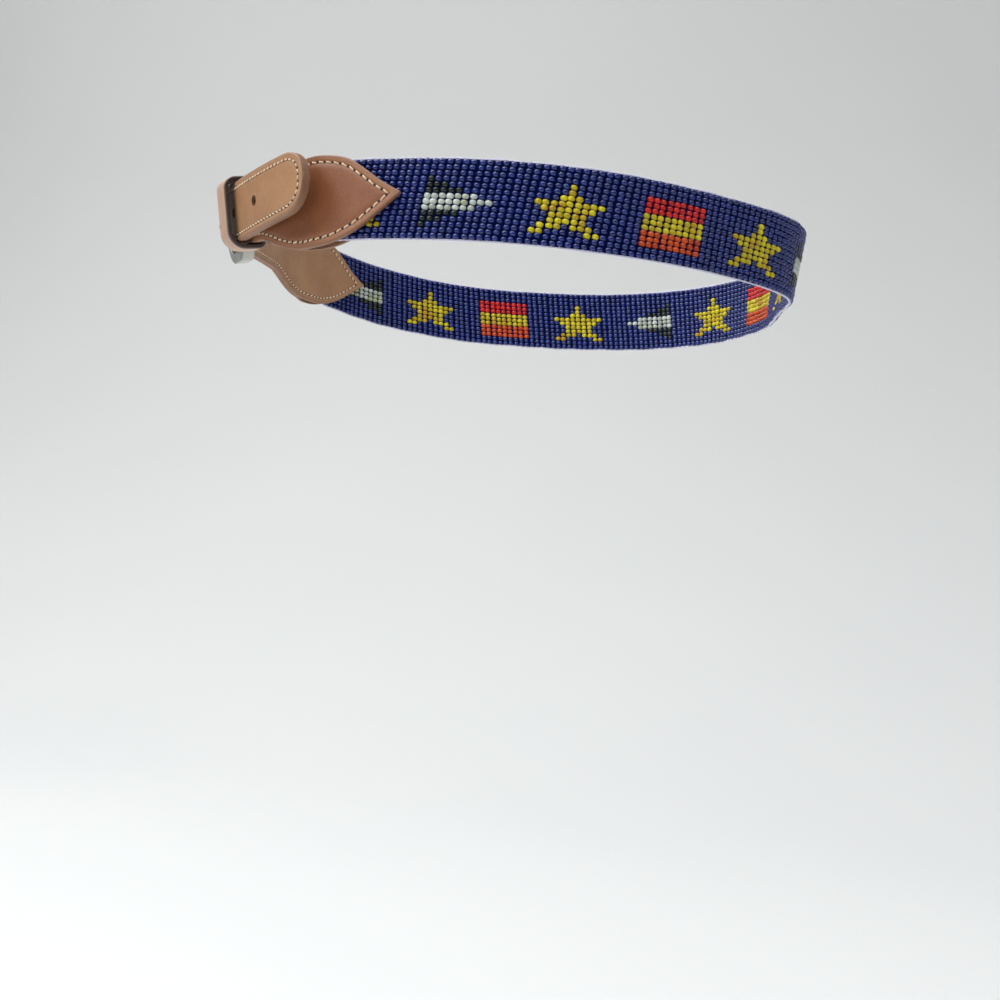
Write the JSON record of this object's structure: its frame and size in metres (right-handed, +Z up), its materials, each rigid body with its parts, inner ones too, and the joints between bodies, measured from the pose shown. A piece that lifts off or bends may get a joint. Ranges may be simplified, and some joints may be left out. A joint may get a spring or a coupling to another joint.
{
  "type": "beaded_belt",
  "caption": "Child's loomed seed-bead belt with star and pennant motifs, tan stitched leather tabs, keeper and nickel buckle, fastened in its worn loop",
  "frame": {"origin": "centre of the worn loop at the belt's mid height, where the waist sits", "axes": "+Z up, +X to the wearer's left, -Y to the wearer's front, where the buckle is"},
  "size_m": [0.1874, 0.1998, 0.0337],
  "materials": {
    "beads": "glossy opaque glass seed beads, cobalt blue with coloured motifs",
    "leather": "smooth vegetable-tanned leather, satin, saddle stitched",
    "keeper_leather": "smooth leather with dark burnished edges",
    "nickel": "polished nickel plate, lightly worn"
  },
  "bodies": {
    "root": {"bead_band": "beads", "buckle_tab": "leather", "keeper": "keeper_leather", "buckle_frame": "nickel", "prong": "nickel", "billet": "leather"}
  },
  "joints": []
}
